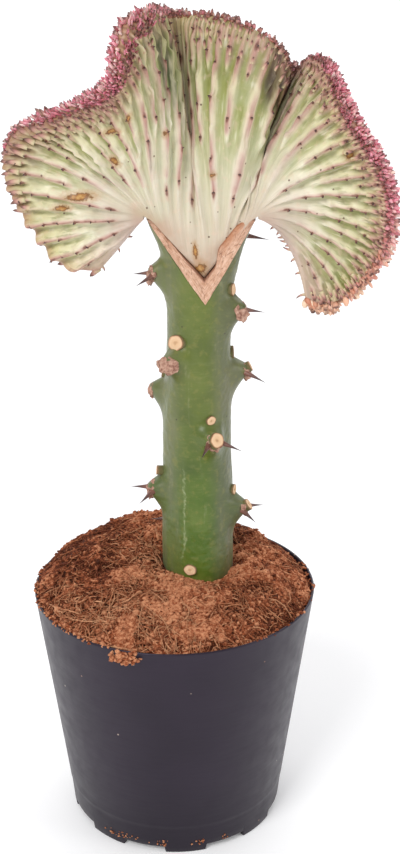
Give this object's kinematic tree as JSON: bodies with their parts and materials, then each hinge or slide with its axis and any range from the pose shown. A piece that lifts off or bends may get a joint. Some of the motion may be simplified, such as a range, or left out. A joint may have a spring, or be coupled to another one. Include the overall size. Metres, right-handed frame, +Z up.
{
  "type": "potted crested euphorbia",
  "caption": "Grafted crested euphorbia: a frilled, ribbed fan on a spiny green stem, rooted in coir in a thin tapered nursery pot.",
  "frame": {"origin": "on the floor, under the middle of the bounding box of the plant and its pot", "axes": "+Z up, +X to the right of the picture's viewer along the fan, -Y towards that viewer"},
  "size_m": [0.1528, 0.1198, 0.3455],
  "materials": {
    "pot": "satin moulded polypropylene, near black",
    "soil": "loose coir fibre and dust, matte red-brown",
    "stem": "smooth waxy green succulent skin",
    "graft_cork": "dry cracked corky graft callus, tan",
    "crest": "waxy cream and pale green succulent flesh with mauve rib crests",
    "crest_margin": "dense pink and brown leaflets along the growing edge"
  },
  "bodies": {
    "root": {"pot": "pot", "soil": "soil", "stem": "stem", "graft_cork": "graft_cork", "crest": "crest", "crest_margin": "crest_margin"}
  },
  "joints": []
}
